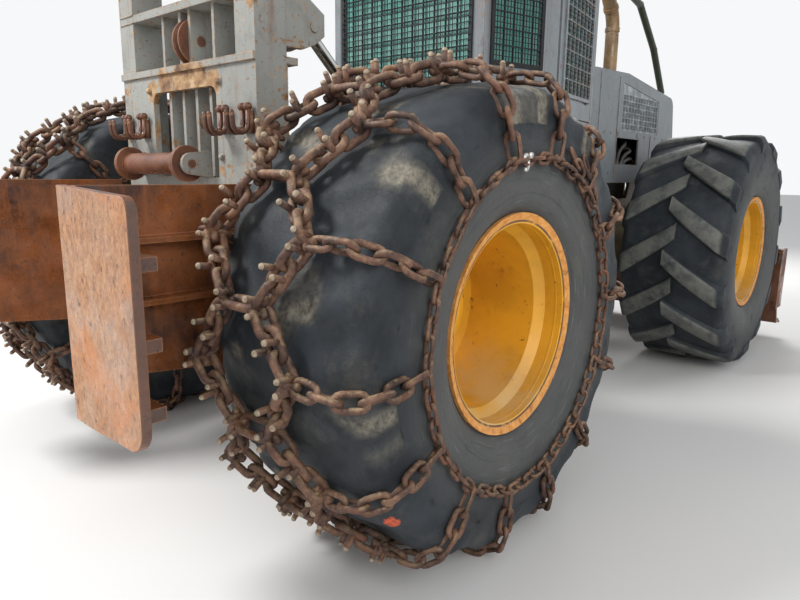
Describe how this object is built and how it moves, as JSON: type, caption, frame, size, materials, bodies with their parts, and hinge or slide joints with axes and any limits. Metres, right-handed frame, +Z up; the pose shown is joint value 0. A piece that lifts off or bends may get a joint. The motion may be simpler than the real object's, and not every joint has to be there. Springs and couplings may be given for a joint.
{
  "type": "cable skidder",
  "caption": "Articulated forestry tractor with a winch, a tilting arch and a log channel behind and a push blade in front.",
  "frame": {"origin": "on the ground, midway between the two axles and on the machine's middle plane", "axes": "+X forwards, +Y to the machine's left, +Z up"},
  "size_m": [6.09, 3.277, 3.0503],
  "materials": {
    "body_paint": "dusty light grey-beige paint",
    "rusty_steel": "bare steel with orange-brown rust",
    "cast_housing": "dusty castings",
    "rim_yellow": "yellow paint with rusty edges",
    "tyre_rubber": "worn dusty rubber",
    "glass": "teal tinted glass",
    "guard_black": "black mesh guards",
    "dark_trim": "cab interior trim",
    "seat_cover": "worn seat cover",
    "rod_chrome": "bright cylinder rods",
    "engine_iron": "oily engine block",
    "exhaust_rust": "heat-rusted pipe",
    "riser_green": "dark green bars",
    "lamp_white": "lamp lenses"
  },
  "bodies": {
    "rear": {"rear_frame": "body_paint", "rear_axle": "cast_housing", "winch": "body_paint", "butt_plate": "rusty_steel"},
    "drum": {"winch_drum": "rusty_steel"},
    "arch": {"arch": "body_paint", "arch_sheave": "rusty_steel", "choker_hooks": "rusty_steel"},
    "roller": {"fairlead_roller": "rusty_steel"},
    "front": {"front_frame": "body_paint", "front_axle": "cast_housing", "engine": "engine_iron", "hood": "body_paint", "hood_grilles": "guard_black", "cab_shell": "body_paint", "cab_roof": "body_paint", "cab_glass": "glass", "cab_guards": "guard_black", "seat": "seat_cover", "controls": "dark_trim", "exhaust": "exhaust_rust", "limb_risers": "riser_green", "side_tanks": "body_paint", "lamps": "lamp_white"},
    "door_left": {"door_left": "body_paint", "door_glass_left": "glass"},
    "door_right": {"door_right": "body_paint", "door_glass_right": "glass"},
    "blade": {"blade": "rusty_steel"},
    "wheel_front_left": {"tyre_front_left": "tyre_rubber", "rim_front_left": "rim_yellow"},
    "wheel_front_right": {"tyre_front_right": "tyre_rubber", "rim_front_right": "rim_yellow"},
    "wheel_rear_left": {"tyre_rear_left": "tyre_rubber", "rim_rear_left": "rim_yellow", "chain_left": "rusty_steel"},
    "wheel_rear_right": {"tyre_rear_right": "tyre_rubber", "rim_rear_right": "rim_yellow", "chain_right": "rusty_steel"},
    "tilt_barrel_left": {"tilt_barrel_left": "cast_housing"},
    "tilt_rod_left": {"tilt_rod_left": "rod_chrome"},
    "tilt_barrel_right": {"tilt_barrel_right": "cast_housing"},
    "tilt_rod_right": {"tilt_rod_right": "rod_chrome"},
    "lift_barrel_left": {"lift_barrel_left": "cast_housing"},
    "lift_rod_left": {"lift_rod_left": "rod_chrome"},
    "lift_barrel_right": {"lift_barrel_right": "cast_housing"},
    "lift_rod_right": {"lift_rod_right": "rod_chrome"},
    "helm_barrel_left": {"helm_barrel_left": "cast_housing"},
    "helm_rod_left": {"helm_rod_left": "rod_chrome"},
    "helm_barrel_right": {"helm_barrel_right": "cast_housing"},
    "helm_rod_right": {"helm_rod_right": "rod_chrome"}
  },
  "joints": [
    {"name": "steer", "type": "hinge", "parent": "rear", "child": "front", "pos_m": [0, 0, 0.905], "axis": [0, 0, 1], "range_deg": [-45, 45]},
    {"name": "wheel_front_left_spin", "type": "hinge", "parent": "front", "child": "wheel_front_left", "pos_m": [1.77, 1.21, 0.915], "axis": [0, 1, 0], "continuous": true},
    {"name": "wheel_front_right_spin", "type": "hinge", "parent": "front", "child": "wheel_front_right", "pos_m": [1.77, -1.21, 0.915], "axis": [0, 1, 0], "continuous": true},
    {"name": "wheel_rear_left_spin", "type": "hinge", "parent": "rear", "child": "wheel_rear_left", "pos_m": [-1.77, 1.21, 0.93], "axis": [0, 1, 0], "continuous": true},
    {"name": "wheel_rear_right_spin", "type": "hinge", "parent": "rear", "child": "wheel_rear_right", "pos_m": [-1.77, -1.21, 0.93], "axis": [0, 1, 0], "continuous": true},
    {"name": "arch_tilt", "type": "hinge", "parent": "rear", "child": "arch", "pos_m": [-2.1, 0, 1.33], "axis": [0, -1, 0], "range_deg": [0, 30]},
    {"name": "blade_lift", "type": "hinge", "parent": "front", "child": "blade", "pos_m": [2.05, 0, 0.78], "axis": [0, -1, 0], "range_deg": [-6, 25]},
    {"name": "drum_spin", "type": "hinge", "parent": "rear", "child": "drum", "pos_m": [-1.56, 0, 1.5], "axis": [0, 1, 0], "continuous": true},
    {"name": "roller_spin", "type": "hinge", "parent": "arch", "child": "roller", "pos_m": [-2.318, 0, 1.53], "axis": [0, 1, 0], "continuous": true},
    {"name": "door_left_swing", "type": "hinge", "parent": "front", "child": "door_left", "pos_m": [-0.0341, 0.7561, 2.3], "axis": [0, 0, 1], "range_deg": [0, 85]},
    {"name": "door_right_swing", "type": "hinge", "parent": "front", "child": "door_right", "pos_m": [-0.0341, -0.7561, 2.3], "axis": [0, 0, -1], "range_deg": [0, 85]},
    {"name": "tilt_barrel_left_swing", "type": "hinge", "parent": "rear", "child": "tilt_barrel_left", "pos_m": [-1.12, 0.49, 1.42], "axis": [0, -1, 0], "range_deg": [0, 12]},
    {"name": "tilt_rod_left_slide", "type": "slide", "parent": "tilt_barrel_left", "child": "tilt_rod_left", "axis": [-0.7442, 0, 0.6679], "range_m": [0, 0.35]},
    {"name": "tilt_barrel_right_swing", "type": "hinge", "parent": "rear", "child": "tilt_barrel_right", "pos_m": [-1.12, -0.49, 1.42], "axis": [0, -1, 0], "range_deg": [0, 12]},
    {"name": "tilt_rod_right_slide", "type": "slide", "parent": "tilt_barrel_right", "child": "tilt_rod_right", "axis": [-0.7442, 0, 0.6679], "range_m": [0, 0.35]},
    {"name": "lift_barrel_left_swing", "type": "hinge", "parent": "front", "child": "lift_barrel_left", "pos_m": [2.36, 0.292, 1.58], "axis": [0, -1, 0], "range_deg": [-2.5, 9]},
    {"name": "lift_rod_left_slide", "type": "slide", "parent": "lift_barrel_left", "child": "lift_rod_left", "axis": [0.3338, 0, -0.9426], "range_m": [-0.27, 0.07]},
    {"name": "lift_barrel_right_swing", "type": "hinge", "parent": "front", "child": "lift_barrel_right", "pos_m": [2.36, -0.292, 1.58], "axis": [0, -1, 0], "range_deg": [-2.5, 9]},
    {"name": "lift_rod_right_slide", "type": "slide", "parent": "lift_barrel_right", "child": "lift_rod_right", "axis": [0.3338, 0, -0.9426], "range_m": [-0.27, 0.07]},
    {"name": "helm_barrel_left_swing", "type": "hinge", "parent": "rear", "child": "helm_barrel_left", "pos_m": [-0.7, 0.24, 0.905], "axis": [0, 0, 1], "range_deg": [-5, 5]},
    {"name": "helm_rod_left_slide", "type": "slide", "parent": "helm_barrel_left", "child": "helm_rod_left", "axis": [0.998, -0.0632, 0], "range_m": [-0.15, 0.15]},
    {"name": "helm_barrel_right_swing", "type": "hinge", "parent": "rear", "child": "helm_barrel_right", "pos_m": [-0.7, -0.24, 0.905], "axis": [0, 0, 1], "range_deg": [-5, 5]},
    {"name": "helm_rod_right_slide", "type": "slide", "parent": "helm_barrel_right", "child": "helm_rod_right", "axis": [0.998, 0.0632, 0], "range_m": [-0.15, 0.15]}
  ],
  "couplings": [
    {"joint": "tilt_barrel_left_swing", "follows": "arch_tilt", "ratio": 0.3908},
    {"joint": "tilt_rod_left_slide", "follows": "arch_tilt", "m_per_rad": 0.6598},
    {"joint": "tilt_barrel_right_swing", "follows": "arch_tilt", "ratio": 0.3908},
    {"joint": "tilt_rod_right_slide", "follows": "arch_tilt", "m_per_rad": 0.6598},
    {"joint": "lift_barrel_left_swing", "follows": "blade_lift", "ratio": 0.3269},
    {"joint": "lift_rod_left_slide", "follows": "blade_lift", "m_per_rad": -0.5942},
    {"joint": "lift_barrel_right_swing", "follows": "blade_lift", "ratio": 0.3269},
    {"joint": "lift_rod_right_slide", "follows": "blade_lift", "m_per_rad": -0.5942},
    {"joint": "helm_barrel_left_swing", "follows": "steer", "ratio": 0.0912},
    {"joint": "helm_rod_left_slide", "follows": "steer", "m_per_rad": -0.181},
    {"joint": "helm_barrel_right_swing", "follows": "steer", "ratio": 0.0912},
    {"joint": "helm_rod_right_slide", "follows": "steer", "m_per_rad": 0.181}
  ]
}
